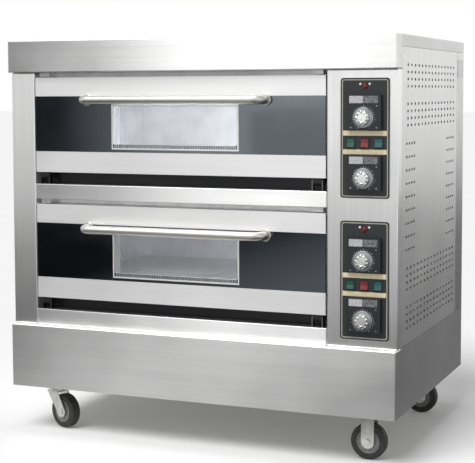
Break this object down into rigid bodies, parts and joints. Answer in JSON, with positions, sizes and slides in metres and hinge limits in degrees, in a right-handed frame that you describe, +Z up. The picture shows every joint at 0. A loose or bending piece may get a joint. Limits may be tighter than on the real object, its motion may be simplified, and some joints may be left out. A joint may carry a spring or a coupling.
{
  "type": "deck oven",
  "caption": "Electric deck oven in brushed steel: stacked baking chambers with drop-down windowed doors, a control column with dials and rockers, and a deep plinth on casters.",
  "frame": {"origin": "middle of the footprint, at the floor", "axes": "+Z up, the doors face -Y, +X towards the control column"},
  "size_m": [1.2011, 0.8572, 1.1795],
  "materials": {
    "brushed_steel": "brushed stainless steel sheet",
    "polished_steel": "fine satin stainless steel",
    "zinc_steel": "bright zinc plate",
    "oven_steel": "plain steel liner",
    "hearth_steel": "dark steel plate",
    "element_sheath": "oxidised heater sheath",
    "black_glass": "gloss black glass",
    "clear_glass": "clear glass",
    "panel_black": "satin black panel",
    "black_plastic": "satin black moulding",
    "knob_metal": "spun metal dial",
    "rocker_green": "green translucent rocker",
    "rocker_red": "red translucent rocker",
    "wheel_rubber": "black caster rubber",
    "aluminium": "bare blank plate"
  },
  "bodies": {
    "cabinet": {"base_front_panel": "brushed_steel", "base_shell": "brushed_steel", "base_pan": "zinc_steel", "base_floor": "zinc_steel", "left_pillar": "brushed_steel", "control_column": "brushed_steel", "lower_rail": "brushed_steel", "middle_rail": "brushed_steel", "cap_fascia": "brushed_steel", "top_cover": "brushed_steel", "side_panel_left": "brushed_steel", "side_panel_right": "brushed_steel", "rear_panel": "brushed_steel", "cable_gland": "black_plastic", "data_plate": "aluminium", "lower_chamber": "oven_steel", "upper_chamber": "oven_steel", "lower_bottom_element": "element_sheath", "lower_top_element": "element_sheath", "upper_bottom_element": "element_sheath", "upper_top_element": "element_sheath", "lower_hearth_left": "hearth_steel", "lower_hearth_right": "hearth_steel", "upper_hearth_left": "hearth_steel", "upper_hearth_right": "hearth_steel", "lower_control_plate": "panel_black", "upper_control_plate": "panel_black", "lower_top_heat_controller": "black_plastic", "lower_bottom_heat_controller": "black_plastic", "upper_top_heat_controller": "black_plastic", "upper_bottom_heat_controller": "black_plastic", "caster_plate_front_left": "zinc_steel", "caster_plate_rear_left": "zinc_steel", "caster_fork_front_right": "zinc_steel", "caster_fork_rear_right": "zinc_steel"},
    "lower_door": {"lower_door_frame": "polished_steel", "lower_door_glass": "black_glass", "lower_window_pane": "clear_glass", "lower_handle": "polished_steel"},
    "upper_door": {"upper_door_frame": "polished_steel", "upper_door_glass": "black_glass", "upper_window_pane": "clear_glass", "upper_handle": "polished_steel"},
    "lower_top_heat_dial": {"lower_top_heat_knob": "knob_metal"},
    "lower_bottom_heat_dial": {"lower_bottom_heat_knob": "knob_metal"},
    "upper_top_heat_dial": {"upper_top_heat_knob": "knob_metal"},
    "upper_bottom_heat_dial": {"upper_bottom_heat_knob": "knob_metal"},
    "lower_switch_1": {"lower_rocker_1": "rocker_green"},
    "lower_switch_2": {"lower_rocker_2": "rocker_red"},
    "lower_switch_3": {"lower_rocker_3": "rocker_green"},
    "upper_switch_1": {"upper_rocker_1": "rocker_green"},
    "upper_switch_2": {"upper_rocker_2": "rocker_red"},
    "upper_switch_3": {"upper_rocker_3": "rocker_green"},
    "front_left_fork": {"caster_fork_front_left": "zinc_steel"},
    "rear_left_fork": {"caster_fork_rear_left": "zinc_steel"},
    "front_left_wheel": {"caster_wheel_front_left": "wheel_rubber"},
    "rear_left_wheel": {"caster_wheel_rear_left": "wheel_rubber"},
    "front_right_wheel": {"caster_wheel_front_right": "wheel_rubber"},
    "rear_right_wheel": {"caster_wheel_rear_right": "wheel_rubber"}
  },
  "joints": [
    {"name": "lower_door_hinge", "type": "hinge", "parent": "cabinet", "child": "lower_door", "pos_m": [-0.0605, -0.3584, 0.3975], "axis": [1, 0, 0], "range_deg": [0, 90]},
    {"name": "upper_door_hinge", "type": "hinge", "parent": "cabinet", "child": "upper_door", "pos_m": [-0.0605, -0.3584, 0.7755], "axis": [1, 0, 0], "range_deg": [0, 90]},
    {"name": "lower_top_heat_turn", "type": "hinge", "parent": "cabinet", "child": "lower_top_heat_dial", "pos_m": [0.5075, -0.3885, 0.5677], "axis": [0, 1, 0], "range_deg": [0, 300]},
    {"name": "lower_bottom_heat_turn", "type": "hinge", "parent": "cabinet", "child": "lower_bottom_heat_dial", "pos_m": [0.5075, -0.3885, 0.4045], "axis": [0, 1, 0], "range_deg": [0, 300]},
    {"name": "upper_top_heat_turn", "type": "hinge", "parent": "cabinet", "child": "upper_top_heat_dial", "pos_m": [0.5075, -0.3885, 0.9543], "axis": [0, 1, 0], "range_deg": [0, 300]},
    {"name": "upper_bottom_heat_turn", "type": "hinge", "parent": "cabinet", "child": "upper_bottom_heat_dial", "pos_m": [0.5075, -0.3885, 0.7911], "axis": [0, 1, 0], "range_deg": [0, 300]},
    {"name": "lower_switch_1_rock", "type": "hinge", "parent": "cabinet", "child": "lower_switch_1", "pos_m": [0.4686, -0.3716, 0.499], "axis": [1, 0, 0], "range_deg": [0, 14]},
    {"name": "lower_switch_2_rock", "type": "hinge", "parent": "cabinet", "child": "lower_switch_2", "pos_m": [0.5075, -0.3716, 0.499], "axis": [1, 0, 0], "range_deg": [0, 14]},
    {"name": "lower_switch_3_rock", "type": "hinge", "parent": "cabinet", "child": "lower_switch_3", "pos_m": [0.5464, -0.3716, 0.499], "axis": [1, 0, 0], "range_deg": [0, 14]},
    {"name": "upper_switch_1_rock", "type": "hinge", "parent": "cabinet", "child": "upper_switch_1", "pos_m": [0.4686, -0.3716, 0.8856], "axis": [1, 0, 0], "range_deg": [0, 14]},
    {"name": "upper_switch_2_rock", "type": "hinge", "parent": "cabinet", "child": "upper_switch_2", "pos_m": [0.5075, -0.3716, 0.8856], "axis": [1, 0, 0], "range_deg": [0, 14]},
    {"name": "upper_switch_3_rock", "type": "hinge", "parent": "cabinet", "child": "upper_switch_3", "pos_m": [0.5464, -0.3716, 0.8856], "axis": [1, 0, 0], "range_deg": [0, 14]},
    {"name": "front_left_swivel", "type": "hinge", "parent": "cabinet", "child": "front_left_fork", "pos_m": [-0.5, -0.29338, 0.124], "axis": [0, 0, 1], "continuous": true},
    {"name": "rear_left_swivel", "type": "hinge", "parent": "cabinet", "child": "rear_left_fork", "pos_m": [-0.5, 0.28463, 0.124], "axis": [0, 0, 1], "continuous": true},
    {"name": "front_left_roll", "type": "hinge", "parent": "front_left_fork", "child": "front_left_wheel", "pos_m": [-0.46429, -0.30637, 0.051], "axis": [0.342, 0.9397, 0], "continuous": true},
    {"name": "rear_left_roll", "type": "hinge", "parent": "rear_left_fork", "child": "rear_left_wheel", "pos_m": [-0.46556, 0.30068, 0.051], "axis": [-0.4226, 0.9063, 0], "continuous": true},
    {"name": "front_right_roll", "type": "hinge", "parent": "cabinet", "child": "front_right_wheel", "pos_m": [0.5, -0.29338, 0.051], "axis": [0, 1, 0], "continuous": true},
    {"name": "rear_right_roll", "type": "hinge", "parent": "cabinet", "child": "rear_right_wheel", "pos_m": [0.5, 0.28463, 0.051], "axis": [0, 1, 0], "continuous": true}
  ]
}
